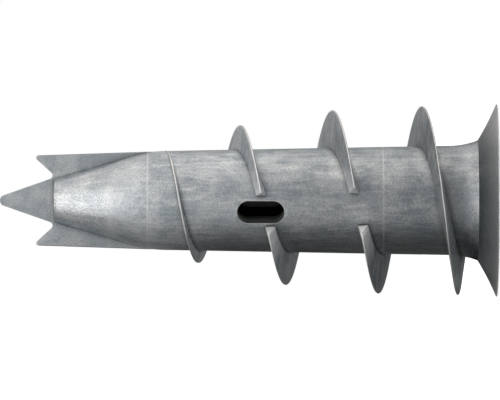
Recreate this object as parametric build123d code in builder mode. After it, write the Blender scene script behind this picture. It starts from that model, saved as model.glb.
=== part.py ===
from build123d import *
import os
from math import asin, ceil, cos, degrees, radians, sin, sqrt, tan

# Self-drilling drywall anchor, die cast in zinc alloy as one piece, in millimetres.
# It stands on its head: the origin is the centre of the head's face and +Z runs to the drill tip.
# The flat drill blade lies in the XZ plane.

overall_length = 38.0

# Head: a flat face with a thin rim, and a slightly hollow cone underneath
head_radius = 7.35
head_thickness = 1.52
rim_land = 0.1
underside_hollow = 0.06

# Neck: an arc from the barrel out to the head's underside
neck_flare = 0.41
neck_length = 2.08

# Barrel and tip cone
barrel_head_radius = 4.18
barrel_tip_radius = 3.76
cone_length = 7.15
cone_end_radius = 1.8

# Drill blade: a centre point between two spurs
blade_thickness = 1.3
blade_step = 0.03  # the blade's edge lies this far inside the barrel's surface
blade_edge_angle = 1.95  # each long edge leans towards the axis
point_length = 4.15  # beyond the end of the cone
point_half_angle = 19.4
point_tip_radius = 0.42
notch_sink = 0.13  # the notches' sharp corners lie this far below the end of the cone
notch_radius = 0.28
spur_inner_angle = 42.3  # from the axis
spur_tip_radius = 0.19

# Screw bore, blind at the tip, and the cross recess that the driver turns
bore_radius = 1.75
tip_wall = 3.85  # solid metal between the bore and the end of the cone
recess_span = 6.2
recess_wing = 1.25
recess_floor_wing = 1.05
recess_angle = 26.5  # of the wings' outer ends, from the axis

# Side windows: two, on the line along which the mould's slides draw out
slide_azimuth = 256.5
window_length = 3.59
window_width = 1.74
window_rise = 0.37  # above the middle of the break in the thread that it stands in

# Thread: one fin with a sharp crest, counted in turns from the back window's side.
# Its lead eases off towards both ends, and its crest sinks into the barrel near the tip.
thread_radius = 7.23
thread_lead = 7.13
thread_easing = 0.119  # share of the height that the easing takes off by each end
easing_power = 3
thread_middle = 14.14
thread_head_gap = 0.78  # from the head's underside to the fin's last section
thread_tip_gap = 1.39  # plain barrel between the fin and the cone
sink_power = 3.35
root_width = 0.74
flank_angle = 15  # of each flank, where the fin is too low for the full root width
break_turns = (-0.491, 0.0, 0.502)
break_margin = 0.33  # from the window's edge to the fin's end
fin_bury = 0.35  # the fin's root and the blade's run this far inside the barrel
section_angle = 30.0

# Heights along the axis
barrel_start = head_thickness + neck_length
cone_end = overall_length - point_length
barrel_end = cone_end - cone_length
thread_start = head_thickness + thread_head_gap
thread_end = barrel_end - thread_tip_gap
neck_radius = barrel_head_radius + neck_flare


def barrel_radius(height):
    """The barrel's taper, carried on past both its ends."""
    share = (height - barrel_start) / (barrel_end - barrel_start)
    return barrel_head_radius + share * (barrel_tip_radius - barrel_head_radius)


def turns_to(height):
    """Turns from the thread's middle to one of its ends, where all the easing has been taken off."""
    return (height - thread_middle) / thread_lead / (1 - thread_easing)


def fin_height(turns):
    end = turns_to(thread_end if turns > 0 else thread_start)
    return thread_middle + thread_lead * turns * (1 - thread_easing * (turns / end) ** easing_power)


def crest_radius(height):
    """Almost full for the first half of the thread, then sinking until it meets the barrel at thread_end."""
    share = height / thread_end
    return thread_radius - (thread_radius - barrel_radius(thread_end)) * share**sink_power


def fin_section(turns):
    """Corners of the fin's section as radius and height, from the buried root to the crest."""
    crest, surface = crest_radius(fin_height(turns)), barrel_radius(fin_height(turns))
    slope = min(tan(radians(flank_angle)), root_width / 2 / max(crest - surface, root_width))
    root = surface - fin_bury
    half_root = slope * (crest - root)
    return [(root, -half_root), (crest, 0), (root, half_root)]


def fin_plane(turns):
    """Radial plane through the fin's middle, x outwards and y up."""
    angle = radians(slide_azimuth + 180 + 360 * turns)
    outwards, sideways = (cos(angle), sin(angle), 0), (sin(angle), -cos(angle), 0)
    return Plane(origin=(0, 0, fin_height(turns)), x_dir=outwards, z_dir=sideways)


def make_fin(start, end):
    """One unbroken length of the thread, lofted from section to section."""
    steps = ceil((end - start) * 360 / section_angle)
    with BuildPart() as fin:
        for step in range(steps + 1):
            turns = start + (end - start) * step / steps
            with BuildSketch(fin_plane(turns)):
                with BuildLine():
                    Polyline(*fin_section(turns), close=True)
                make_face()
        loft()
    return fin.part


# The slides break the thread once on each half turn in the middle of the barrel
window_height = fin_height(max(break_turns)) + window_rise
half_break = degrees(asin((window_width / 2 + break_margin) / barrel_radius(window_height))) / 360
starts = [turns_to(thread_start)] + [place + half_break for place in break_turns]
ends = [place - half_break for place in break_turns] + [turns_to(thread_end)]
fins = [make_fin(start, end) for start, end in zip(starts, ends)]

# Blade outline: the point's flank meets the spur's inner edge at the notch
point_slope = tan(radians(point_half_angle))
spur_slope = tan(radians(spur_inner_angle))
edge_slope = tan(radians(blade_edge_angle))
blade_half_width = barrel_tip_radius - blade_step
blade_root = barrel_end - fin_bury
point_apex = overall_length + point_tip_radius * (1 / sin(radians(point_half_angle)) - 1)
notch_height = cone_end - notch_sink
notch_half_width = point_slope * (point_apex - notch_height)
shoulder = blade_half_width - edge_slope * (notch_height - barrel_end) - notch_half_width
spur_rise = shoulder / (spur_slope + edge_slope)
spur_height = notch_height + spur_rise
spur_half_width = notch_half_width + spur_slope * spur_rise
blade_edge = [(0, blade_root), (blade_half_width, blade_root), (blade_half_width, barrel_end)]

with BuildPart() as blade:
    with BuildSketch(Plane.XZ) as outline:
        with BuildLine():
            Polyline(*blade_edge, (spur_half_width, spur_height), (notch_half_width, notch_height))
            Polyline((notch_half_width, notch_height), (0, point_apex), (0, blade_root))
        make_face()
        mirror(about=Plane.YZ)
        fillet(outline.vertices().group_by(Axis.Y)[-3], notch_radius)
        fillet(outline.vertices().group_by(Axis.Y)[-2], spur_tip_radius)
        fillet(outline.vertices().group_by(Axis.Y)[-1], point_tip_radius)
    extrude(amount=blade_thickness / 2, both=True)
    # The long edges are turned round, so that the blade sweeps a clean hole
    with BuildSketch(Plane.XZ):
        with BuildLine():
            Polyline(*blade_edge, (spur_half_width, spur_height), (spur_half_width, overall_length))
            Polyline((spur_half_width, overall_length), (0, overall_length), (0, blade_root))
        make_face()
    revolve(axis=Axis.Z, mode=Mode.INTERSECT)

# The recess's wings close in to the bore as they get deeper
recess_floor_span = 2 * sqrt(bore_radius**2 - (recess_floor_wing / 2) ** 2)
recess_depth = (recess_span - recess_floor_span) / 2 / tan(radians(recess_angle))
slide_direction = (cos(radians(slide_azimuth)), sin(radians(slide_azimuth)), 0)

with BuildPart() as anchor:
    # Body of revolution: head, neck, barrel and cone
    with BuildSketch(Plane.XZ):
        with BuildLine():
            Polyline((0, cone_end), (0, 0), (head_radius, 0), (head_radius, rim_land))
            SagittaArc((head_radius, rim_land), (neck_radius, head_thickness), underside_hollow)
            barrel = Line((barrel_head_radius, barrel_start), (barrel_tip_radius, barrel_end))
            TangentArc(barrel @ 0, (neck_radius, head_thickness), tangent=(barrel % 0) * -1)
            Polyline(barrel @ 1, (cone_end_radius, cone_end), (0, cone_end))
        make_face()
    revolve(axis=Axis.Z)
    add(blade.part)
    add(fins)
    # Screw bore
    with BuildSketch(Plane.XY):
        Circle(bore_radius)
    extrude(amount=cone_end - tip_wall, mode=Mode.SUBTRACT)
    # Cross recess
    for turn in (0, 90):
        with BuildSketch(Plane.XY):
            Rectangle(recess_span, recess_wing, rotation=turn)
        with BuildSketch(Plane.XY.offset(recess_depth)):
            Rectangle(recess_floor_span, recess_floor_wing, rotation=turn)
        loft(mode=Mode.SUBTRACT)
    # Windows, right through both walls
    with BuildSketch(Plane(origin=(0, 0, window_height), x_dir=(0, 0, 1), z_dir=slide_direction)):
        SlotOverall(window_length, window_width)
    extrude(amount=barrel_head_radius, both=True, mode=Mode.SUBTRACT)

anchor.part.label = "anchor"
os.makedirs("parts", exist_ok=True)
export_step(anchor.part, "parts/anchor.step")
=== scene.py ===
"""A self-drilling drywall anchor, die cast in zinc alloy, standing on its head on a pale studio floor.

Laid out as a Blender add-on and run as a script. Lengths are in metres. +Z runs from the head's face
to the drill tip, the drill blade lies in the XZ plane, and the camera looks along +Y.
"""

from functools import partial
from math import asin, atan, atan2, ceil, copysign, cos, hypot, pi, radians, sin, tan, tau
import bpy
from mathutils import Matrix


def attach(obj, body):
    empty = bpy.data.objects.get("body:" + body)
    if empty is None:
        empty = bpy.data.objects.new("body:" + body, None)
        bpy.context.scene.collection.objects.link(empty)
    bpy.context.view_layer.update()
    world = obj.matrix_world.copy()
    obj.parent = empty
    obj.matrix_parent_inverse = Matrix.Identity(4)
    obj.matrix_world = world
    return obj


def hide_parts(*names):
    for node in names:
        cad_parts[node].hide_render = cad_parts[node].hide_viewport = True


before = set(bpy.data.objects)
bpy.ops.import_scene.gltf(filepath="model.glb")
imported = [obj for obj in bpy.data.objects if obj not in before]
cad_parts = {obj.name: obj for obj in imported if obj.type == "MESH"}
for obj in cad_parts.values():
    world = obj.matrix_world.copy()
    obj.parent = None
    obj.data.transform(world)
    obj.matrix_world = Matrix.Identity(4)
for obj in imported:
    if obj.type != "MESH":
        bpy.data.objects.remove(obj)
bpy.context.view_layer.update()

from types import SimpleNamespace

import bmesh
import bpy
from bpy.props import FloatProperty, FloatVectorProperty, PointerProperty
from mathutils import Matrix, Vector

bl_info = {
    "name": "Zinc Drywall Anchor",
    "version": (1, 0, 0),
    "blender": (4, 5, 0),
    "location": "View3D > Sidebar > Anchor",
    "description": "Builds a die-cast self-drilling drywall anchor and a small studio for it",
    "category": "Add Mesh",
}

MM = 0.001


def size(name, description, millimetres):
    """A length that a user would change, given here in millimetres."""
    return FloatProperty(
        name=name, description=description, default=millimetres * MM, unit="LENGTH", precision=5)


def number(name, description, value, **limits):
    return FloatProperty(name=name, description=description, default=value, **limits)


def angle(name, description, in_degrees):
    return FloatProperty(name=name, description=description, default=radians(in_degrees), subtype="ANGLE")


def linear(hex_colour):
    """The linear colour that an sRGB hex value stands for."""
    channels = [int(hex_colour[i:i + 2], 16) / 255 for i in (1, 3, 5)]
    return [c / 12.92 if c <= 0.04045 else ((c + 0.055) / 1.055) ** 2.4 for c in channels]


def colour(name, description, hex_colour):
    return FloatVectorProperty(
        name=name, description=description, default=linear(hex_colour), subtype="COLOR", min=0, max=1)


class AnchorShape(bpy.types.PropertyGroup):
    overall_length: size("Overall length", "From the head's face to the drill tip", 38.0)
    head_radius: size("Head radius", "Of the flat face", 7.35)
    head_thickness: size("Head thickness", "From the face to the neck", 1.52)
    rim_land: size("Rim land", "Height of the head's straight rim", 0.1)
    underside_hollow: size("Underside hollow", "How far the cone under the head is hollowed", 0.06)
    neck_flare: size("Neck flare", "How much wider the neck is at the head than the barrel", 0.41)
    neck_length: size("Neck length", "Of the curve from the head into the barrel", 2.08)
    barrel_head_radius: size("Barrel radius at the head", "Where the neck's curve ends", 4.18)
    barrel_tip_radius: size("Barrel radius at the tip", "Where the cone begins", 3.76)
    cone_length: size("Cone length", "Of the cone between the barrel and the blade's point", 7.15)
    cone_end_radius: size("Cone end radius", "Of the small flat that ends the cone", 1.8)
    point_length: size("Point length", "Of the drill point beyond the cone", 4.15)
    bore_radius: size("Bore radius", "Of the screw's hole", 1.75)
    tip_wall: size("Tip wall", "Solid metal between the bore and the cone's end", 3.85)


class AnchorThread(bpy.types.PropertyGroup):
    radius: size("Thread radius", "Over the crest", 7.23)
    lead: size("Lead", "Rise of one turn in the middle of the thread", 7.13)
    middle: size("Middle", "Height that the turns are counted from", 14.14)
    easing: number("Easing", "Share of the rise that is lost by each end", 0.119)
    head_gap: size("Gap to the head", "From the head's underside to the thread's start", 0.78)
    tip_gap: size("Gap to the cone", "Plain barrel beyond the thread's end", 1.39)
    sink_power: number("Sinking", "How late the crest sinks", 3.35)
    root_width: size("Root width", "Of a full fin where it meets the barrel", 0.74)
    flank_angle: angle("Flank angle", "Of each flank, where the fin is low", 15)
    crest_land: size("Crest land", "Width of the fin's worn crest", 0.10)
    end_round: size("End rounding", "Of the fins' cut ends", 0.03)
    draft_width: size("Draft", "How much a fin's foot widens towards its end at a break", 0.06)


class AnchorOpenings(bpy.types.PropertyGroup):
    slide_azimuth: angle("Slide direction", "The way that the mould's side slides draw out", 256.5)
    window_length: size("Window length", "Along the barrel", 3.59)
    window_width: size("Window width", "Across the barrel", 1.74)
    window_rise: size("Window rise", "Above the middle of the break that it stands in", 0.37)
    window_lip: size("Window lip", "Rounding of the window's rim", 0.09)
    break_margin: size("Break margin", "From the window's edge to the fins' ends", 0.33)
    recess_span: size("Recess span", "Across the cross recess at the face", 6.2)
    recess_wing: size("Recess wing", "Width of a wing at the face", 1.25)
    recess_floor_wing: size("Recess floor", "Width of a wing at its foot", 1.05)
    recess_angle: angle("Recess angle", "Of the wings' outer ends, from the axis", 26.5)


class AnchorBlade(bpy.types.PropertyGroup):
    thickness: size("Blade thickness", "Of the flat drill blade", 1.3)
    step: size("Blade step", "How far the blade stands inside the barrel's surface", 0.03)
    edge_angle: angle("Edge angle", "Each long edge leans towards the axis", 1.95)
    point_angle: angle("Point angle", "Of the point's flanks, from the axis", 19.4)
    point_round: size("Point rounding", "Radius of the point's tip", 0.42)
    notch_sink: size("Notch sink", "The notches lie this far below the cone's end", 0.13)
    notch_round: size("Notch rounding", "Radius in the notches", 0.28)
    spur_angle: angle("Spur angle", "Of the spurs' inner edges, from the axis", 42.3)
    spur_round: size("Spur rounding", "Radius of the spurs' tips", 0.19)
    edge_round: size("Edge rounding", "Of the blade's long sharp edges", 0.035)


class AnchorFinish(bpy.types.PropertyGroup):
    metal: colour("Zinc", "Tumbled zinc alloy", "#BCC1C4")
    bright: colour("Rubbed zinc", "Where the castings have rubbed together", "#E0E1E2")
    # worn zinc; also the colour of the painted light on the head's rim and the thread's ends, and of painted
    # highlights on crests and witness lines
    wear_and_painted_light: colour("Worn zinc", "On crests, sharp edges and the mould's witness lines", "#FAFAF8")
    dull: colour("Dull zinc", "Blue-grey patches that tumbling left", "#A2ABB0")
    # painted shade: the colour laid in the bore and windows, in corners and on the first ends' facets
    painted_shade: colour("Hollow zinc", "Inside the bore, which tumbling doesn't reach", "#5A5A53")
    roughness: number("Roughness", "Of the tumbled surface", 0.38, min=0, max=1)
    flank_roughness: number("Flank roughness", "Of the fins' flanks", 0.50, min=0, max=1)
    grain_width: size("Grain width", "Of the fine grain in the cast skin", 0.13)
    grain_depth: size("Grain depth", "Of the fine grain in the cast skin", 0.022)
    patch_size: size("Patch size", "Of the dull patches", 1.6)
    edge_width: size("Edge width", "How far in from a sharp edge the metal is worn bright", 0.1)
    # painted shade: how far out of a corner the metal is painted dark
    corner_shade_reach: size("Corner reach", "How far out of a corner the metal stays dark", 0.7)
    streak_width: size("Streak width", "Of the rubbing marks along the barrel", 0.30)
    streak_length: size("Streak length", "Of the rubbing marks along the barrel", 2.6)
    scuff_width: size("Scuff width", "Of the pale scuffs that other castings left", 0.9)
    scuff_length: size("Scuff length", "Of the pale scuffs that other castings left", 3.0)


class AnchorStudio(bpy.types.PropertyGroup):
    distance: size("Camera distance", "From the anchor's axis", 589.0)
    lens: number("Lens", "Focal length in millimetres", 555.0)
    camera_height: size("Camera height", "Height on the anchor that the camera looks at", 18.9)
    camera_side: size("Camera side", "How far the camera stands towards the blade's edge", 0.034)
    floor: colour("Floor", "Plain pale floor", "#F2F2F2")
    lamp: colour("Lamp", "Colour of the soft lamps", "#FFFAF7")


def mesh_object(name, bm):
    mesh = bpy.data.meshes.new(name)
    bm.to_mesh(mesh)
    bm.free()
    piece = bpy.data.objects.new(name, mesh)
    bpy.context.scene.collection.objects.link(piece)
    return piece


def combine(piece, other, operation):
    """Joins other to piece or cuts it out of it, and takes other away."""
    boolean = piece.modifiers.new(operation.lower(), "BOOLEAN")
    boolean.solver, boolean.operation, boolean.object = "MANIFOLD", operation, other
    graph = bpy.context.evaluated_depsgraph_get()
    result = bpy.data.meshes.new_from_object(piece.evaluated_get(graph))
    piece.modifiers.clear()
    spent = [piece.data, other.data]
    piece.data = result
    bpy.data.objects.remove(other)
    for mesh in spent:
        bpy.data.meshes.remove(mesh)


def bevel(bm, geom, width, affect="EDGES", segments=3):
    return bmesh.ops.bevel(bm, geom=geom, offset=width, offset_type="OFFSET", affect=affect,
                           segments=segments, profile=0.5, material=-1, clamp_overlap=True)


def turn_about_axis(bm, verts, turn):
    bmesh.ops.rotate(bm, verts=verts, cent=(0, 0, 0), matrix=Matrix.Rotation(turn, 3, "Z"))


def thicken(bm, way):
    """Makes a solid of a lone flat face."""
    grown = bmesh.ops.extrude_face_region(bm, geom=bm.faces[:])["geom"]
    bmesh.ops.translate(bm, verts=[part for part in grown if isinstance(part, bmesh.types.BMVert)], vec=way)
    bmesh.ops.recalc_face_normals(bm, faces=bm.faces)


# Heights and radii along the axis

def barrel_start(shape):
    return shape.head_thickness + shape.neck_length


def cone_end(shape):
    return shape.overall_length - shape.point_length


def barrel_end(shape):
    return cone_end(shape) - shape.cone_length


def barrel_radius(shape, height):
    """The barrel's taper, carried on past both its ends."""
    share = (height - barrel_start(shape)) / (barrel_end(shape) - barrel_start(shape))
    return shape.barrel_head_radius + share * (shape.barrel_tip_radius - shape.barrel_head_radius)


def cone_radius(shape, height):
    share = (height - barrel_end(shape)) / shape.cone_length
    return shape.barrel_tip_radius + share * (shape.cone_end_radius - shape.barrel_tip_radius)


# The body of revolution

JUNCTION_BLEND = 0.32 * MM  # over which the barrel's surface turns into the cone's
RIM_ROUND = 0.03 * MM
CONE_END_ROUND = 0.035 * MM
ROW = 0.4 * MM  # height of a row of faces
AROUND = 224  # faces in a row
MERGE = 0.0001 * MM


def skin_radius(shape, height):
    """Barrel and cone, with the edge between them rubbed round."""
    barrel, cone = barrel_radius(shape, height), cone_radius(shape, height)
    share = min(1, max(0, 0.5 + 0.5 * (barrel - cone) / JUNCTION_BLEND))
    return barrel + share * (cone - barrel) - JUNCTION_BLEND * share * (1 - share)


def skin_heights(shape):
    low, high = barrel_start(shape), cone_end(shape)
    rows = ceil((high - low) / ROW)
    return [low + (high - low) * row / rows for row in range(rows + 1)]


def arc(start, end, sagitta, steps=12):
    """Points from start to end on an arc that bulges to the left by sagitta."""
    start, end = Vector(start), Vector(end)
    chord = end - start
    side = Vector((-chord.y, chord.x)).normalized()
    half = 2 * atan(2 * sagitta / chord.length)
    radius = chord.length / 2 / sin(half)
    centre = (start + end) / 2 - side * radius * cos(half)
    spokes = [start - centre, end - centre]
    turn = spokes[0].angle_signed(spokes[1])
    points = []
    for step in range(steps + 1):
        spoke = spokes[0].copy()
        spoke.rotate(Matrix.Rotation(-turn * step / steps, 2))
        points.append(centre + spoke)
    return points


def body_profile(shape):
    """Half section of the whole casting without its fins and blade, as radius and height."""
    bore_end = cone_end(shape) - shape.tip_wall
    neck_radius = shape.barrel_head_radius + shape.neck_flare
    taper = (shape.barrel_head_radius - shape.barrel_tip_radius) / (barrel_end(shape) - barrel_start(shape))
    rim, neck = (shape.head_radius, shape.rim_land), (neck_radius, shape.head_thickness)
    top = (shape.barrel_head_radius, barrel_start(shape))
    # The neck's arc is tangent to the barrel, so its sagitta follows from the angle to its chord
    neck_turn = atan(shape.neck_flare / shape.neck_length) - atan(taper)
    neck_sagitta = hypot(shape.neck_flare, shape.neck_length) / 2 * tan(neck_turn / 2)
    profile = [(0, bore_end), (shape.bore_radius, bore_end), (shape.bore_radius, 0), (shape.head_radius, 0)]
    profile += arc(rim, neck, shape.underside_hollow)
    profile += arc(neck, top, neck_sagitta)[1:-1]
    profile += [(skin_radius(shape, height), height) for height in skin_heights(shape)]
    return profile + [(0, cone_end(shape))]


def ring_edges(bm, radius, height, reach=0.001 * MM):
    """The edges of the ring of that radius and height."""
    on_ring = {v for v in bm.verts if abs(v.co.z - height) < reach and abs(v.co.xy.length - radius) < reach}
    return [e for e in bm.edges if e.verts[0] in on_ring and e.verts[1] in on_ring]


def make_body(shape):
    bm = bmesh.new()
    verts = [bm.verts.new((radius, 0, height)) for radius, height in body_profile(shape)]
    edges = [bm.edges.new(pair) for pair in zip(verts, verts[1:])]
    bmesh.ops.spin(bm, geom=verts + edges, cent=(0, 0, 0), axis=(0, 0, 1), angle=tau, steps=AROUND,
                   use_merge=True, use_duplicate=False)
    bmesh.ops.remove_doubles(bm, verts=bm.verts, dist=MERGE)
    bmesh.ops.recalc_face_normals(bm, faces=bm.faces)
    for radius, height, width in (
            (shape.head_radius, 0, RIM_ROUND), (shape.head_radius, shape.rim_land, RIM_ROUND),
            (shape.cone_end_radius, cone_end(shape), CONE_END_ROUND)):
        bevel(bm, ring_edges(bm, radius, height), width)
    return mesh_object("body", bm)


# The thread's fins

STEPS_A_TURN = 120
FLANK_ROWS = (0.34, 0.67)  # rows up a flank, as shares of its height
CREST_TURNS = [radians(turn) for turn in (10, 35, 60, 80)]  # rows round the worn crest
FIN_BURY = 0.35 * MM
LEAST_RISE = 0.02 * MM  # of a fin that has sunk into the barrel
BREAKS = (-0.491, 0.0, 0.502)  # turns at which the slides break the thread
DRAFT_REACH = radians(36)  # the fins' feet widen within this angle of the slides' direction


def turns_to(thread, height):
    return (height - thread.middle) / thread.lead / (1 - thread.easing)


def thread_ends(shape, thread):
    return shape.head_thickness + thread.head_gap, barrel_end(shape) - thread.tip_gap


def fin_height(shape, thread, turns):
    """The lead eases off towards both ends of the thread."""
    low, high = thread_ends(shape, thread)
    end = turns_to(thread, high if turns > 0 else low)
    return thread.middle + thread.lead * turns * (1 - thread.easing * (turns / end) ** 3)


def crest_radius(shape, thread, height):
    """Almost full for the first half of the thread, then sinking until it meets the barrel."""
    end = thread_ends(shape, thread)[1]
    return thread.radius - (thread.radius - barrel_radius(shape, end)) * (height / end) ** thread.sink_power


def place_on_thread(vert, shape, thread, openings, full_height):
    """Moves a vertex of an even helix to the thread's own lead, crest and width."""
    turn = atan2(vert.co.y, vert.co.x) / tau
    turn += round(vert.co.z / thread.lead - turn)
    offset = vert.co.z - thread.lead * turn
    above = vert.co.xy.length - shape.barrel_head_radius
    height = fin_height(shape, thread, turn)
    surface = barrel_radius(shape, height)
    rise = max(crest_radius(shape, thread, height) - surface, LEAST_RISE)
    from_slides = abs(turn * 2 - round(turn * 2)) * pi
    draft = thread.draft_width * max(0, 1 - from_slides / DRAFT_REACH)
    root = min(rise * tan(thread.flank_angle), thread.root_width / 2) + draft
    land = thread.crest_land / 2
    slimmed = max(0, root - land) / (thread.root_width / 2 - land)
    offset = copysign(land + (abs(offset) - land) * slimmed, offset)
    radius = surface + (above * rise / full_height if above > 0 else above)
    around = openings.slide_azimuth + pi + tau * turn
    vert.co = (radius * cos(around), radius * sin(around), height + offset)


END_LEAN = radians(7.8)  # how much further a fin's crest runs than its foot
LEAN_REACH = radians(24)


def lean_end(bm, shape, thread, end, full_height):
    """Leans a fin's last end into the slides' direction, as the mould's draft does."""
    for vert in bm.verts:
        above = max(0, vert.co.xy.length - shape.barrel_head_radius) / full_height
        behind = tau * end - atan2(vert.co.y, vert.co.x)
        behind += tau * round(((end - vert.co.z / thread.lead) * tau - behind) / tau)
        forward = END_LEAN * above * max(0, 1 - behind / LEAN_REACH)
        vert.co = Matrix.Rotation(forward, 3, "Z") @ vert.co + Vector((0, 0, thread.lead * forward / tau))


def make_fin(shape, thread, openings, start, end):
    """One unbroken length of the thread: a section spun up an even helix, then put in its place."""
    full_height = thread.radius - shape.barrel_head_radius
    half_root, half_crest = thread.root_width / 2, thread.crest_land / 2
    half = [(half_root, -FIN_BURY), (half_root, 0)]
    half += [(half_root + (half_crest - half_root) * share, full_height * share) for share in FLANK_ROWS]
    half += [(half_crest * cos(turn), full_height - half_crest * (1 - sin(turn))) for turn in CREST_TURNS]
    outline = half + [(-width, above) for width, above in reversed(half)]
    bm = bmesh.new()
    verts = [bm.verts.new((shape.barrel_head_radius + above, 0, width)) for width, above in outline]
    section = bm.faces.new(verts)
    turn_about_axis(bm, verts, tau * start)
    bmesh.ops.translate(bm, verts=verts, vec=(0, 0, thread.lead * start))
    steps = ceil((end - start) * STEPS_A_TURN)
    rise = thread.lead * (end - start) / steps
    bmesh.ops.spin(bm, geom=[section], cent=(0, 0, 0), axis=(0, 0, 1), dvec=(0, 0, rise),
                   angle=tau * (end - start), steps=steps, use_duplicate=False)
    caps = [face for face in bm.faces if len(face.verts) == len(outline)]
    lean_end(bm, shape, thread, end, full_height)
    for vert in bm.verts:
        place_on_thread(vert, shape, thread, openings, full_height)
    bmesh.ops.recalc_face_normals(bm, faces=bm.faces)
    bevel(bm, list({edge for cap in caps for edge in cap.edges}), thread.end_round, segments=2)
    return mesh_object("fin", bm)


def window_height(shape, thread, openings):
    return fin_height(shape, thread, BREAKS[-1]) + openings.window_rise


def fin_spans(shape, thread, openings):
    """Start and end of each length of the thread, in turns."""
    reach = openings.window_width / 2 + openings.break_margin
    half_break = asin(reach / barrel_radius(shape, window_height(shape, thread, openings))) / tau
    low, high = thread_ends(shape, thread)
    starts = [turns_to(thread, low)] + [place + half_break for place in BREAKS]
    ends = [place - half_break for place in BREAKS] + [turns_to(thread, high)]
    return zip(starts, ends)


# The drill blade

BLADE_LAYERS = 6
BLADE_ROOT = 1.5 * MM  # how far the blade runs into the barrel


def blade_corners(shape, blade):
    """The blade's half width, then corners of one half, as distance from the axis and height."""
    angles = (blade.point_angle, blade.spur_angle, blade.edge_angle)
    point_slope, spur_slope, edge_slope = (tan(a) for a in angles)
    width = shape.barrel_tip_radius - blade.step
    apex = shape.overall_length + blade.point_round * (1 / sin(blade.point_angle) - 1)
    notch_height = cone_end(shape) - blade.notch_sink
    notch = point_slope * (apex - notch_height)
    shoulder = width - edge_slope * (notch_height - barrel_end(shape)) - notch
    spur_rise = shoulder / (spur_slope + edge_slope)
    spur = (notch + spur_slope * spur_rise, notch_height + spur_rise)
    return width, (0, apex), (notch, notch_height), spur


def runs_along(edge, axis):
    way = edge.verts[1].co - edge.verts[0].co
    return abs(getattr(way, axis)) > 0.99 * way.length


def round_corner(bm, corner, radius):
    """Rounds a corner of a flat outline to an arc of that radius."""
    ways = [(edge.other_vert(corner).co - corner.co).normalized() for edge in corner.link_edges]
    half = ways[0].angle(ways[1]) / 2
    centre = corner.co + (ways[0] + ways[1]).normalized() * radius / sin(half)
    for vert in bevel(bm, [corner], radius / tan(half), affect="VERTICES", segments=10)["verts"]:
        vert.co = centre + (vert.co - centre).normalized() * radius


def make_blade(shape, blade):
    width, apex, notch, spur = blade_corners(shape, blade)
    root = barrel_end(shape) - BLADE_ROOT
    shoulder = (width, barrel_end(shape))
    half = [(width, root), shoulder, spur, notch]
    outline = half + [apex] + [(-x, z) for x, z in reversed(half)]
    bm = bmesh.new()
    verts = [bm.verts.new((x, -blade.thickness / 2, z)) for x, z in outline]
    bm.faces.new(verts)
    radii = [blade.spur_round, blade.notch_round, blade.point_round, blade.notch_round, blade.spur_round]
    for corner, radius in zip(verts[2:7], radii):
        round_corner(bm, corner, radius)
    thicken(bm, (0, blade.thickness, 0))
    bevel(bm, [e for e in bm.edges if not runs_along(e, "y")], blade.edge_round, segments=2)
    bmesh.ops.subdivide_edges(bm, edges=[e for e in bm.edges if runs_along(e, "y")], cuts=BLADE_LAYERS - 1)
    turn_long_edges(bm, shape, width, spur)
    return mesh_object("blade", bm)


def turn_long_edges(bm, shape, width, spur):
    """Keeps the blade inside the hole that it drills, as if its long edges were turned."""
    for vert in bm.verts:
        share = max(0, (vert.co.z - barrel_end(shape)) / (spur[1] - barrel_end(shape)))
        limit = width + min(share, 1) * (spur[0] - width)
        reach = (limit**2 - vert.co.y**2) ** 0.5
        if abs(vert.co.x) > reach:
            vert.co.x = copysign(reach, vert.co.x)


# What is cut away

SLOT_SIDES = 64
WINDOW_FOLD = radians(45)  # the rim's edges are sharper than this
SHARP_FOLD = radians(32)  # edges that are sharper than this keep a hard shade


def slides_way(openings):
    return Vector((cos(openings.slide_azimuth), sin(openings.slide_azimuth), 0))


def window_cutter(shape, thread, openings):
    """A round-ended slot that runs through both walls along the slides' direction."""
    bm = bmesh.new()
    ends = bmesh.ops.create_circle(
        bm, cap_ends=True, segments=SLOT_SIDES, radius=openings.window_width / 2)["verts"]
    turn_about_axis(bm, ends, pi / SLOT_SIDES)
    for vert in ends:
        vert.co.x += copysign((openings.window_length - openings.window_width) / 2, vert.co.x)
    bmesh.ops.translate(bm, verts=ends, vec=(0, 0, -2 * shape.barrel_head_radius))
    thicken(bm, (0, 0, 4 * shape.barrel_head_radius))
    along, up = slides_way(openings), Vector((0, 0, 1))
    place = Matrix((up, along.cross(up), along)).transposed().to_4x4()
    place.translation = (0, 0, window_height(shape, thread, openings))
    bmesh.ops.transform(bm, matrix=place, verts=bm.verts)
    return mesh_object("window", bm)


def recess_cutter(shape, openings, turn):
    """One bar of the cross recess, which closes in to the bore as it gets deeper."""
    floor_span = 2 * (shape.bore_radius**2 - (openings.recess_floor_wing / 2) ** 2) ** 0.5
    depth = (openings.recess_span - floor_span) / 2 / tan(openings.recess_angle)
    outside = 0.2  # share of the depth by which the bar stands out of the face
    bm = bmesh.new()
    bmesh.ops.create_cube(bm, size=2)
    for vert in bm.verts:
        share = 1.0 if vert.co.z > 0 else -outside
        span = openings.recess_span + share * (floor_span - openings.recess_span)
        wing = openings.recess_wing + share * (openings.recess_floor_wing - openings.recess_wing)
        vert.co = (vert.co.x * span / 2, vert.co.y * wing / 2, share * depth)
    turn_about_axis(bm, bm.verts, turn)
    return mesh_object("recess", bm)


def soften_window(piece, shape, thread, openings):
    """Rounds the window's rims on the barrel's outside."""
    bm = bmesh.new()
    bm.from_mesh(piece.data)
    middle = window_height(shape, thread, openings)
    along = slides_way(openings).xy
    lip = openings.window_lip
    length, width = openings.window_length / 2 + lip, openings.window_width / 2 + lip
    rims = [
        edge for edge in bm.edges
        if edge.calc_face_angle(0) > WINDOW_FOLD
        and all(abs(v.co.z - middle) < length and abs(v.co.xy.cross(along)) < width
                and v.co.xy.length > shape.barrel_tip_radius for v in edge.verts)]
    bevel(bm, rims, lip, segments=4)
    bm.to_mesh(piece.data)
    bm.free()


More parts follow.
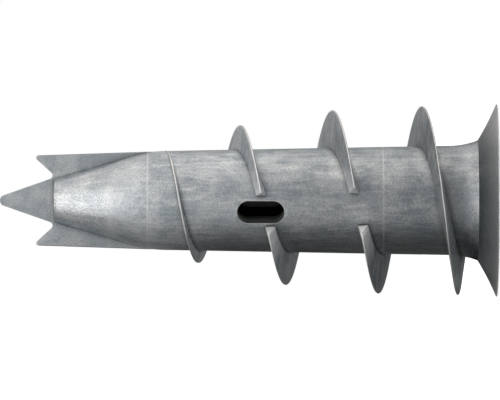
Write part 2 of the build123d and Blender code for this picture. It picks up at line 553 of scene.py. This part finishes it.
class ANCHOR_OT_casting(bpy.types.Operator):
    """Build the casting: head, barrel, thread, drill blade, bore, recess and windows in one piece"""

    bl_idname = "anchor.casting"
    bl_label = "Zinc Casting"

    def execute(self, context):
        scene = context.scene
        shape, thread = scene.anchor_shape, scene.anchor_thread
        openings, blade = scene.anchor_openings, scene.anchor_blade
        piece = make_body(shape)
        piece.name = "anchor_casting"
        combine(piece, make_blade(shape, blade), "UNION")
        for start, end in fin_spans(shape, thread, openings):
            combine(piece, make_fin(shape, thread, openings, start, end), "UNION")
        combine(piece, window_cutter(shape, thread, openings), "DIFFERENCE")
        for turn in (0, pi / 2):
            combine(piece, recess_cutter(shape, openings, turn), "DIFFERENCE")
        soften_window(piece, shape, thread, openings)
        piece.data.name = piece.name
        piece.data.shade_smooth()
        piece.data.set_sharp_from_angle(angle=SHARP_FOLD)
        piece.data.materials.clear()
        piece.data.materials.append(tumbled_zinc(scene.anchor_finish, shape, thread, openings, blade))
        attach(piece, "root")
        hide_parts("anchor")
        return {"FINISHED"}


# Materials

def add_node(tree, kind, inputs=(), output=0, **settings):
    """Adds a node with its settings and its inputs, in order or by name, and gives one output or the node."""
    node = tree.nodes.new("ShaderNode" + kind)
    for name, value in settings.items():
        setattr(node, name, value)
    for name, value in inputs.items() if isinstance(inputs, dict) else enumerate(inputs):
        if isinstance(value, bpy.types.NodeSocket):
            tree.links.new(value, node.inputs[name])
        else:
            node.inputs[name].default_value = value
    return node if output is None else node.outputs[output]


def new_material(name):
    """An empty material, and add_node for its nodes."""
    material = bpy.data.materials.new(name)
    material.use_nodes = True
    material.node_tree.nodes.clear()
    return material, partial(add_node, material.node_tree)


# The zinc: where each part of its finish lies on the casting, painted light and shade among them. A mask runs
# from 0 to 1, and a gain lightens or darkens. Each fade gives the two values that it runs between, and then
# what it is at each of them.

def find_spot(add, shape):
    """What the zinc reads of a spot: its place, height and facing, and how far it is from axis and barrel."""
    spot = SimpleNamespace()
    coordinates = add("TexCoord", output=None).outputs
    spot.place = coordinates["Object"]
    spot.facing = add("SeparateXYZ", [coordinates["Normal"]], output="Z")
    parts = add("SeparateXYZ", [spot.place], output=None).outputs
    spot.back, spot.height = parts["Y"], parts["Z"]
    flat = add("VectorMath", (spot.place, (1, 1, 0)), operation="MULTIPLY")
    spot.outwards = add("VectorMath", [flat], operation="NORMALIZE")
    spot.radius = add("VectorMath", [flat], operation="LENGTH", output="Value")
    foot = barrel_radius(shape, 0)
    taper = barrel_radius(shape, 1) - foot
    surface = add("Math", (spot.height, taper, foot), operation="MULTIPLY_ADD")
    spot.stand = add("Math", (spot.radius, surface), operation="SUBTRACT")
    return spot


def height_zones(add, height, shape):
    """Masks and gains that change with the height alone."""
    head, neck, cone = shape.head_thickness, barrel_start(shape), barrel_end(shape)
    fades = {
        "calm_neck": (neck + 1 * MM, neck - 1 * MM, 0, 0.55),  # fewer rubbing marks on the neck
        "calm_cone": (cone - 3 * MM, cone + 1 * MM, 0, 0.55),  # and on the cone
        "head_gain": (9 * MM, head, 1, 0.84),  # painted shade: darker by the head
        "tip_gain": (15 * MM, 26 * MM, 1, 1.30),  # painted light: paler by the tip
        "neck": (head + 1.2 * MM, head + 0.6 * MM, 0, 1),
        "junction": (cone - 6 * MM, cone - 0.8 * MM, 0, 1),
        "cone": (cone, cone + 0.55 * shape.cone_length, 0, 1),
    }
    steps = {
        "by_head": ("LESS_THAN", head + 0.1 * MM),
        "off_face": ("GREATER_THAN", head / 4),
        "past_head": ("GREATER_THAN", head + 0.25 * MM),
        "past_neck": ("GREATER_THAN", neck - 0.4 * MM),
        "before_tip": ("LESS_THAN", cone - 1 * MM),
        "past_barrel": ("GREATER_THAN", cone),
    }
    zones = {name: add("MapRange", (height, *fade)) for name, fade in fades.items()}
    for name, (test, level) in steps.items():
        zones[name] = add("Math", (height, level), operation=test)
    return SimpleNamespace(**zones)


SCUFF_SHIFT = (3.1, 0.4, 7.7)  # so that the scuffs don't lie where the rubbing marks do


def rubbing_patterns(add, spot, finish, shape):
    """Marks and scuffs that follow the profile: along the barrel and the cone, and straight up the flanks."""
    radius = (shape.barrel_tip_radius,) * 3
    around = add("VectorMath", (spot.outwards, radius), operation="MULTIPLY")
    along = add("Math", (spot.height, spot.radius), operation="SUBTRACT")
    lift = add("CombineXYZ", {"Z": along})
    profile = add("VectorMath", (around, lift), operation="ADD")
    patterns = []
    for width, length, shift, detail, roughness, distortion in (
            (finish.streak_width, finish.streak_length, (0, 0, 0), 5.0, 0.62, 0.5),
            (finish.scuff_width, finish.scuff_length, SCUFF_SHIFT, 6.0, 0.55, 0.3)):
        stretched = add("Mapping", {
            "Vector": profile, "Location": shift, "Scale": (1 / width, 1 / width, 1 / length)})
        patterns.append(add("TexNoise", {
            "Vector": stretched, "Scale": 1.0, "Detail": detail, "Roughness": roughness,
            "Distortion": distortion}))
    return patterns


def blade_mask(add, spot, zone, blade):
    """The blade's two faces, which show the grain and hardly any rubbing marks."""
    sideways = add("Math", [spot.back], operation="ABSOLUTE")
    half = blade.thickness / 2 + 0.01 * MM
    thin = add("Math", (sideways, half), operation="LESS_THAN")
    return add("Math", (thin, zone.past_barrel), operation="MULTIPLY")


FIN_FADE = (0.06 * MM, 0.2 * MM)  # how far out of the barrel a fin's mask begins and is full
NECK_FIN_FADE = (0.03 * MM, 0.2 * MM)  # and how far out of the neck, beside the fin that reaches over it
CREST_FADE = (0.14 * MM, 0.05 * MM)  # how far in from the crest the crest's mask begins and is full


def fin_masks(add, spot, zone, shape, thread):
    """The fins and their crests, by how far a spot stands out of the barrel or the neck."""
    neck_radius = shape.barrel_head_radius + shape.neck_flare
    found = []
    for value, start, full, where in (
            (spot.stand, *FIN_FADE, zone.past_neck),
            (spot.radius, *(neck_radius + foot for foot in NECK_FIN_FADE), zone.past_head)):
        mask = add("MapRange", (value, start, full))
        found.append(add("Math", (mask, where), operation="MULTIPLY"))
    fin = add("Math", found, operation="MAXIMUM")
    # The crest's radius, as crest_radius works it out
    end = thread_ends(shape, thread)[1]
    sink = barrel_radius(shape, end) - thread.radius
    share = add("Math", (spot.height, end), operation="DIVIDE")
    share = add("Math", (share, thread.sink_power), operation="POWER")
    top = add("Math", (share, sink, thread.radius), operation="MULTIPLY_ADD")
    short = add("Math", (top, spot.radius), operation="SUBTRACT")
    crest = add("MapRange", (short, *CREST_FADE))
    return fin, add("Math", (crest, fin), operation="MULTIPLY")


BREAK_REACH = 1.2 * MM  # how far the ends' masks go on past the outer two breaks
LAST_END_FADE = (0.14 * MM, 0.05 * MM, 0, 1)  # how far beside the gap a last end's mask of painted light begins and is full
END_LIGHT_FADE = (2.6 * MM, 0, 0, 0.7)  # painted light: the metal by an end gets paler over this distance
FIRST_END_FADE = (0.014, 0.004, 0, 1)  # the same for a first end's painted shade, as sines of the angle beside the gap


def end_light_and_shade_masks(add, spot, fin, shape, thread, openings):
    """Painted light on the lengths' last ends at the breaks, and painted shade on their first ends' facets.
    """
    gap = openings.window_width / 2 + openings.break_margin
    sine = gap / barrel_radius(shape, window_height(shape, thread, openings))
    low, high = (fin_height(shape, thread, place) for place in (BREAKS[0], BREAKS[-1]))
    between = add("Math", (
        spot.height, (low + high) / 2, (high - low) / 2 + BREAK_REACH), operation="COMPARE")
    by_breaks = add("Math", (fin, between), operation="MULTIPLY")
    slides = slides_way(openings)
    forward, across = (
        add("VectorMath", (spot.place, way), operation="DOT_PRODUCT", output="Value")
        for way in (slides, Vector((0, 0, 1)).cross(slides)))
    side = add("Math", (across, forward), operation="MULTIPLY")
    on_last = add("Math", (side, 0), operation="LESS_THAN")
    across = add("Math", [across], operation="ABSOLUTE")
    share = add("Math", (across, spot.radius), operation="DIVIDE")
    found = []
    for value, edge, (start, full, least, most) in (
            (across, gap, LAST_END_FADE), (across, gap, END_LIGHT_FADE), (share, sine, FIRST_END_FADE)):
        mask = add("MapRange", (value, edge + start, edge + full, least, most))
        found.append(add("Math", (mask, by_breaks), operation="MULTIPLY"))
    last, near, first_end_shade = found
    last = add("Math", (last, on_last), operation="MULTIPLY")
    first_end_shade = add("Math", (first_end_shade, on_last), operation="SUBTRACT", use_clamp=True)
    lit_ends = add("Math", (last, near), operation="MAXIMUM")
    return add("Mix", {0: first_end_shade, 2: lit_ends, 3: 0}), first_end_shade


HEAD_FADE = 0.1 * MM  # how far out of the neck the head's mask is full
RIM_PAINTED_LIGHT = 0.8  # painted light: how much of the rim's colour is worn zinc


def head_and_rim_light_masks(add, spot, zone, shape):
    """The head, and painted light on its underside: none by the neck, most at the rim."""
    neck_radius = shape.barrel_head_radius + shape.neck_flare
    head = add("MapRange", (spot.radius, neck_radius, neck_radius + HEAD_FADE))
    head = add("Math", (head, zone.by_head), operation="MULTIPLY")
    rim = add("MapRange", (spot.radius, neck_radius, shape.head_radius, 0, RIM_PAINTED_LIGHT))
    return head, add("Math", (rim, head), operation="MULTIPLY")


WITNESS_LINES = (8.75 * MM, 26.7 * MM)  # where the mould's head and tip blocks met its slides
WITNESS_FADE = (0.10 * MM, 0.02 * MM)  # how far from its middle a line begins and is full
WITNESS_SHOW = (0.35, 0.60, 0.15, 0.55)  # the lines are broken by the patches
THIN_FADE = (0.75, 0.35)  # how open the metal's inside is at an edge that is just worn, and fully worn


def wear_and_highlight_mask(add, spot, finish, patches, crest, unworn):
    """Crests and sharp edges, where the metal is thin behind the surface, and the mould's witness lines: worn
    bright, and partly a painted highlight.
    """
    thickness = add("AmbientOcclusion", {
        "Distance": finish.edge_width}, samples=8, inside=True, only_local=True, output="AO")
    wear_and_painted_light = add("MapRange", (thickness, *THIN_FADE))
    head, shaded_first_ends = unworn
    wear_and_painted_light = add("Mix", {0: head, 2: wear_and_painted_light, 3: 0})
    wear_and_painted_light = add("Math", (wear_and_painted_light, crest), operation="MAXIMUM")
    wear_and_painted_light = add("Mix", {0: shaded_first_ends, 2: wear_and_painted_light, 3: 0})
    # the witness lines are a painted highlight: the body's shape has no ridge there to catch the light
    showing = add("MapRange", (patches, *WITNESS_SHOW))
    for height in WITNESS_LINES:
        off = add("Math", (spot.height, height), operation="SUBTRACT")
        off = add("Math", [off], operation="ABSOLUTE")
        line = add("MapRange", (off, *WITNESS_FADE))
        line = add("Math", (line, showing), operation="MULTIPLY")
        wear_and_painted_light = add("Math", (wear_and_painted_light, line), operation="MAXIMUM")
    return wear_and_painted_light


CORNER_FADE = (0.85, 0.45, 0, 0.60)  # how open a corner is where its painted shade begins and is full
BLADE_CORNER_SHADE = 1.45  # how much darker the blade's painted corner shade is than the others'


def corner_shade_mask(add, zone, finish, fin, on_blade):
    """Painted shade in corners, where less light reaches, except on the fins and in the neck."""
    open_share = add("AmbientOcclusion", {
        "Distance": finish.corner_shade_reach}, samples=8, only_local=True, output="AO")
    corner_shade = add("MapRange", (open_share, *CORNER_FADE))
    spared = add("Math", (fin, zone.neck), operation="MAXIMUM")
    corner_shade = add("Mix", {0: spared, 2: corner_shade, 3: 0})
    deeper = add("MapRange", (on_blade, 0, 1, 1, BLADE_CORNER_SHADE))
    return add("Math", (corner_shade, deeper), operation="MULTIPLY")


WALL_FADE = (0.05 * MM, 1.7 * MM)  # how far in from the barrel's surface its walls begin to take painted shade and are fully shaded
BACK_FADE = (-0.05 * MM, -0.15 * MM)  # the same for the far half's, by how far they stand out of the barrel
# painted shade: the far half's walls are darkened to this share
BACK_SHADE = 0.2


def bore_shade_masks(add, spot, zone, shape):
    """Painted shade on the walls of bore and windows, and a darker painted shade on the far half's, which
    light from behind would whiten.
    """
    wall = [shape.barrel_tip_radius - depth for depth in WALL_FADE]
    within = add("MapRange", (spot.radius, *wall))
    behind = add("Math", (spot.back, 0), operation="GREATER_THAN")
    sunk = add("MapRange", (spot.stand, *BACK_FADE))
    behind = add("Math", (behind, sunk), operation="MULTIPLY")
    painted_shade = add("Math", (within, behind), operation="MAXIMUM")
    for where in (zone.before_tip, zone.off_face):
        painted_shade = add("Math", (painted_shade, where), operation="MULTIPLY")
    behind = add("Math", (behind, zone.before_tip), operation="MULTIPLY")
    return painted_shade, add("MapRange", (behind, 0, 1, 1, BACK_SHADE))


PATCH_FADE = (0.3, 0.7)  # for the patches' roughness
DULL_FADE = (0.42, 0.58)  # and for their colour
RUBBING_FADE = (0.42, 0.88, 0, 1)
SCUFF_FADE = (0.56, 0.70, 0, 0.40)
SPECKLE_FADE = (0.38, 0.62, 0.84, 1.11)  # the grain's dark and bright specks
FLANK_LIGHT_FADE = (-0.3, -0.8, 0.86, 1.50)  # painted light and shade: flanks that face the head are painted paler than those that face the tip
CALM_RUBBING, BLADE_RUBBING = 0.18, 0.10  # even rubbing, in place of marks, on neck and cone and on the blade
PATCHY_ROUGHNESS = 0.06  # how much rougher and smoother the patches are
JUNCTION_ROUGHNESS, CONE_ROUGHNESS, NECK_ROUGHNESS = 0.58, 0.22, 0.22
HEAD_ROUGHNESS, WORN_ROUGHNESS, HOLLOW_ROUGHNESS = 0.40, 0.38, 0.9
PALE_END_METALLIC = 0.45  # the ends with painted light scatter light more than the rest
MARK_DEPTH = 0.14  # of the rubbing marks, as a share of the grain's


def tumbled_zinc(finish, shape, thread, openings, blade):
    """Zinc alloy, die cast and tumbled: a satin blue-grey metal, with painted shade in its corners and in the
    bore.

    The eye gets it from soft pale rubbing marks along the barrel, a fine grain that sparkles in the
    highlight, blue-grey patches, bright crests that are worn and partly a painted highlight, painted light
    and shade, and dark painted corners.
    """
    material, add = new_material("tumbled_zinc")
    spot = find_spot(add, shape)
    zone = height_zones(add, spot.height, shape)
    marks, scuffs = rubbing_patterns(add, spot, finish, shape)
    patches, grain = (
        add("TexNoise", {
            "Vector": spot.place, "Scale": 1 / width, "Detail": detail, "Roughness": roughness})
        for width, detail, roughness in ((finish.patch_size, 5.0, 0.6), (finish.grain_width, 2.0, 0.7)))
    on_blade = blade_mask(add, spot, zone, blade)
    fin, crest = fin_masks(add, spot, zone, shape, thread)
    end_painted_light, end_painted_shade = end_light_and_shade_masks(add, spot, fin, shape, thread, openings)
    head, rim = head_and_rim_light_masks(add, spot, zone, shape)
    wear_and_painted_light = wear_and_highlight_mask(add, spot, finish, patches, crest, unworn=(head, end_painted_shade))
    corner_shade = corner_shade_mask(add, zone, finish, fin, on_blade)
    painted_shade, back_shade = bore_shade_masks(add, spot, zone, shape)

    calm = add("Math", (zone.calm_neck, zone.calm_cone), operation="ADD")
    rubbed = add("MapRange", (marks, *RUBBING_FADE))
    scuffed = add("MapRange", (scuffs, *SCUFF_FADE))
    for where, even_rubbing in ((calm, CALM_RUBBING), (on_blade, BLADE_RUBBING)):
        rubbed = add("Mix", {0: where, 2: rubbed, 3: even_rubbing})
        scuffed = add("Mix", {0: where, 2: scuffed, 3: 0})
    dulled = add("MapRange", (patches, *DULL_FADE))

    # painted light and shade on the fins' flanks, by which way they face
    flank_painted_light = add("MapRange", (spot.facing, *FLANK_LIGHT_FADE))
    flank_painted_light = add("Mix", {0: fin, 2: 1, 3: flank_painted_light})
    tip_gain = add("Mix", {0: on_blade, 2: zone.tip_gain, 3: 1})
    shade = add("MapRange", (grain, *SPECKLE_FADE))
    # painted shade towards the head, and painted light towards the tip
    for gain in (zone.head_gain, flank_painted_light, tip_gain):
        shade = add("Math", (shade, gain), operation="MULTIPLY")

    # The colours, painted light and shade among them, laid on one over the other
    skin = (*finish.metal, 1)
    for blend, share, tint in (
            ("MIX", dulled, finish.dull), ("MIX", rubbed, finish.bright), ("MIX", scuffed, finish.wear_and_painted_light),
            ("MULTIPLY", 1, shade),
            # painted light on the head's rim and on the thread's last ends, and painted shade on the first
            # ends' facets
            ("MIX", rim, finish.wear_and_painted_light), ("MIX", end_painted_light, finish.wear_and_painted_light), ("MIX", end_painted_shade, finish.painted_shade),
            # worn crests and edges with painted highlights, and painted shade in corners and in the bore
            ("MIX", wear_and_painted_light, finish.wear_and_painted_light), ("MIX", corner_shade, finish.painted_shade), ("MIX", painted_shade, finish.painted_shade),
            # a darker painted shade in the far half of the bore and windows
            ("MULTIPLY", 1, back_shade)):
        tint = tint if isinstance(tint, bpy.types.NodeSocket) else (*tint, 1)
        skin = add("Mix", {0: share, 6: skin, 7: tint}, 2, data_type="RGBA", blend_type=blend)

    # The stones rub the barrel smoother than the fins' flanks, and don't reach into the bore
    smooth, coarse = finish.roughness - PATCHY_ROUGHNESS, finish.roughness + PATCHY_ROUGHNESS
    rough = add("MapRange", (patches, *PATCH_FADE, smooth, coarse))
    on_cone = add("Math", (zone.cone, on_blade), operation="SUBTRACT")
    for where, roughness in (
            (zone.junction, JUNCTION_ROUGHNESS), (on_cone, CONE_ROUGHNESS), (zone.neck, NECK_ROUGHNESS),
            (head, HEAD_ROUGHNESS), (fin, finish.flank_roughness), (wear_and_painted_light, WORN_ROUGHNESS),
            (painted_shade, HOLLOW_ROUGHNESS)):
        rough = add("Mix", {0: where, 2: rough, 3: roughness})
    metallic = add("Mix", {0: end_painted_light, 2: 1, 3: PALE_END_METALLIC})
    relief = add("Math", (marks, MARK_DEPTH, grain), operation="MULTIPLY_ADD")
    bumps = add("Bump", {"Strength": 1.0, "Distance": finish.grain_depth, "Height": relief})
    shader = add("BsdfPrincipled", {
        "Base Color": skin, "Metallic": metallic, "Roughness": rough, "Normal": bumps})
    add("OutputMaterial", {"Surface": shader}, output=None)
    return material


# The studio

# Rings of upright light cards round the anchor: how far out, foot and top, in millimetres
RINGS = {
    "far": (250, 0, 110),
    "far_top": (250, 230, 420),
    "near": (107, 30, 55),
    "middle": (107, 55, 80),
    "lamp": (107, 80, 110),
    "lamp_top": (107, 110, 150),
}
# Each card's ring and name, from and to in degrees round from the camera and positive towards -X, and how
# light it is, where 1 is white. The cards are white, and the lamps' soft boxes have the lamps' colour
CARDS = [
    ("far", "upper_back", -180, -150, 0.19),
    ("far", "upper_behind", -150, -120, 0.74),
    ("far", "front", -52, 15, 0.46),
    ("far", "lower_front", 15, 60, 0.43),
    ("far", "lower_back", 60, 180, 0.02),
    ("far_top", "upper", -150, -28, 0.36),
    ("far_top", "lower", -28, 150, 0.20),
    ("far_top", "back", 150, 210, 0.65),
    ("near", "front", -42, 50, 0.68),
    ("near", "lower", 50, 90, 0.36),
    ("middle", "front", -42, 50, 0.90),
    ("middle", "lower", 50, 135, 0.30),
    ("near", "lower_back", 90, 182, 0.04),
    ("near", "upper_back", 182, 230, 0.16),
    ("middle", "lower_back", 135, 182, 0.05),
    ("middle", "upper_back", 182, 230, 0.20),
]
LAMPS = [
    ("far", "upper_side", -120, -52, 1.25),
    ("near", "upper", -130, -42, 0.98),
    ("middle", "upper", -130, -42, 0.71),
    ("lamp", "upper_side", -130, -85, 0.70),
    ("lamp", "upper", -85, -28, 1.07),
    ("lamp", "front", -28, 34, 1.85),
    ("lamp", "lower_front", 34, 52, 1.00),
    ("lamp", "lower", 52, 90, 0.50),
    ("lamp", "lower_back", 90, 160, 0.25),
    ("lamp", "back", 160, 182, 0.20),
    ("lamp", "upper_back", 182, 230, 0.36),
    ("lamp_top", "upper", -130, -42, 0.40),
    ("lamp_top", "front", -42, 50, 0.78),
    ("lamp_top", "lower", 50, 150, 0.20),
    ("lamp_top", "back", 150, 230, 0.70),
]
CARD_STEP = 10  # degrees that each flat of a card takes
DISC_SIDES, CEILING_SIDES = 96, 48
CEILING_RADIUS, CEILING_HEIGHT = 300 * MM, 420 * MM
CEILING_FADE = (-150 * MM, 150 * MM, 0.35, 1.6)  # across the picture, from its lower side to its upper one
FLOOR_CARD_RADII = (7.5 * MM, 250 * MM)
FLOOR_CARD_HEIGHT = 0.2 * MM
FLOOR_CARD_GLOW = 0.06  # next to the anchor
FLOOR_CARD_RISE = (10 * MM, 90 * MM)  # how far out it begins to get lighter, and how far out it has
FLOOR_CARD_FADE = (-60 * MM, 60 * MM, 0.14, 0.45)  # there, across the picture as the ceiling's
FLOOR_RADIUS = 260 * MM
FLOOR_DROP = 0.02 * MM  # keeps the floor clear of the head's face
FLOOR_LIFT = 0.4  # the floor's own glow, so that it comes out white


def light_card(name, bm, glow, tint=(1, 1, 1)):
    """A card that only the metal reflects. Its glow is a number or a function that adds nodes for one."""
    piece = mesh_object("card_" + name, bm)
    material, add = new_material(piece.name)
    strength = glow(add) if callable(glow) else glow
    light = add("Emission", {"Color": (*tint, 1), "Strength": strength})
    add("OutputMaterial", {"Surface": light}, output=None)
    piece.data.materials.append(material)
    piece.visible_camera = piece.visible_diffuse = piece.visible_shadow = False


def upright_card(ring, name, start, end, glow, tint=(1, 1, 1)):
    """A card bent round the anchor."""
    distance, *heights = (length * MM for length in RINGS[ring])
    bm = bmesh.new()
    side = [bm.verts.new((0, -distance, height)) for height in heights]
    edge = bm.edges.new(side)
    turn_about_axis(bm, side, -radians(end))
    bmesh.ops.spin(bm, geom=side + [edge], cent=(0, 0, 0), axis=(0, 0, 1), angle=radians(end - start),
                   steps=ceil((end - start) / CARD_STEP), use_duplicate=False)
    light_card(ring + "_" + name, bm, glow, tint)


def flat_disc(radius, height, sides):
    bm = bmesh.new()
    rim = bmesh.ops.create_circle(bm, cap_ends=True, segments=sides, radius=radius)["verts"]
    bmesh.ops.translate(bm, verts=rim, vec=(0, 0, height))
    return bm


def ceiling_glow(add):
    """Lighter over the side that lies uppermost in the picture."""
    across = add("SeparateXYZ", [add("TexCoord", output="Object")], output="X")
    return add("MapRange", (across, *CEILING_FADE))


def floor_card():
    """A dark card round the foot of the anchor, which keeps the pale floor out of the metal's reflections."""
    bm = bmesh.new()
    for radius in FLOOR_CARD_RADII:
        bmesh.ops.create_circle(bm, segments=DISC_SIDES, radius=radius)
    bmesh.ops.bridge_loops(bm, edges=bm.edges)
    bmesh.ops.translate(bm, verts=bm.verts, vec=(0, 0, FLOOR_CARD_HEIGHT))
    return bm


def floor_card_glow(add):
    """Darkest next to the anchor, and lighter where the ceiling is."""
    place = add("TexCoord", output="Object")
    away = add("VectorMath", [place], operation="LENGTH", output="Value")
    across = add("SeparateXYZ", [place], output="X")
    outside = add("MapRange", (across, *FLOOR_CARD_FADE))
    return add("MapRange", (away, *FLOOR_CARD_RISE, FLOOR_CARD_GLOW, outside))


def make_camera(studio):
    """The camera lies on its side, so that the drill tip points left."""
    camera = bpy.data.cameras.new("camera")
    camera.sensor_width = 36
    camera.lens = studio.lens
    camera.clip_start, camera.clip_end = 0.05, 20
    piece = bpy.data.objects.new("camera", camera)
    bpy.context.scene.collection.objects.link(piece)
    right, up, back = Vector((0, 0, -1)), Vector((1, 0, 0)), Vector((0, -1, 0))
    place = Matrix((right, up, back)).transposed().to_4x4()
    place.translation = (studio.camera_side, -studio.distance, studio.camera_height)
    piece.matrix_world = place
    bpy.context.scene.camera = piece


def make_floor(studio):
    """A pale floor that looks white to the camera where nothing shades it."""
    piece = mesh_object("floor", flat_disc(FLOOR_RADIUS, -FLOOR_DROP, DISC_SIDES))
    material, add = new_material("pale_floor")
    ray = add("LightPath", output=None).outputs
    seen = ray["Is Camera Ray"]
    for kind in ("Is Glossy Ray", "Is Transmission Ray"):
        seen = add("Math", (seen, ray[kind]), operation="MAXIMUM")
    lift = add("Math", (seen, FLOOR_LIFT), operation="MULTIPLY")
    shader = add("BsdfPrincipled", {
        "Base Color": (*studio.floor, 1), "Roughness": 0.8,
        "Emission Color": (1, 1, 1, 1), "Emission Strength": lift})
    add("OutputMaterial", {"Surface": shader}, output=None)
    piece.data.materials.append(material)


def make_world():
    """A plain white room. A strength of 1 is white, for the camera and in the metal's reflections alike."""
    world = bpy.data.worlds.new("white_room")
    bpy.context.scene.world = world
    world.use_nodes = True
    world.node_tree.nodes.clear()
    add = partial(add_node, world.node_tree)
    glow = add("Background", {"Color": (1, 1, 1, 1), "Strength": 1.0})
    add("OutputWorld", {"Surface": glow}, output=None)


class ANCHOR_OT_studio(bpy.types.Operator):
    """Set up the pale floor, the white room, the cards, the lamps and the camera"""

    bl_idname = "anchor.studio"
    bl_label = "Studio"

    def execute(self, context):
        studio = context.scene.anchor_studio
        context.scene.view_settings.view_transform = "Standard"
        make_world()
        make_floor(studio)
        make_camera(studio)
        for row in CARDS:
            upright_card(*row)
        for row in LAMPS:
            upright_card(*row, tint=studio.lamp)
        light_card("top", flat_disc(CEILING_RADIUS, CEILING_HEIGHT, CEILING_SIDES), ceiling_glow)
        light_card("floor", floor_card(), floor_card_glow)
        return {"FINISHED"}


class ANCHOR_PT_panel(bpy.types.Panel):
    """Sizes, finish and steps of the anchor"""

    bl_label = "Drywall Anchor"
    bl_idname = "ANCHOR_PT_panel"
    bl_space_type = "VIEW_3D"
    bl_region_type = "UI"
    bl_category = "Anchor"

    def draw(self, context):
        layout = self.layout
        for operator in (ANCHOR_OT_casting, ANCHOR_OT_studio):
            layout.operator(operator.bl_idname)
        for name, kind in GROUPS.items():
            box = layout.box()
            box.label(text=kind.bl_rna.name)
            for prop in kind.__annotations__:
                box.prop(getattr(context.scene, name), prop)


GROUPS = {
    "anchor_shape": AnchorShape,
    "anchor_thread": AnchorThread,
    "anchor_openings": AnchorOpenings,
    "anchor_blade": AnchorBlade,
    "anchor_finish": AnchorFinish,
    "anchor_studio": AnchorStudio,
}
CLASSES = (*GROUPS.values(), ANCHOR_OT_casting, ANCHOR_OT_studio, ANCHOR_PT_panel)


def register():
    for kind in CLASSES:
        bpy.utils.register_class(kind)
    for name, kind in GROUPS.items():
        setattr(bpy.types.Scene, name, PointerProperty(type=kind))


def unregister():
    for name in GROUPS:
        delattr(bpy.types.Scene, name)
    for kind in reversed(CLASSES):
        bpy.utils.unregister_class(kind)


def main():
    register()
    bpy.ops.anchor.casting()
    bpy.ops.anchor.studio()


if __name__ == "__main__":
    main()
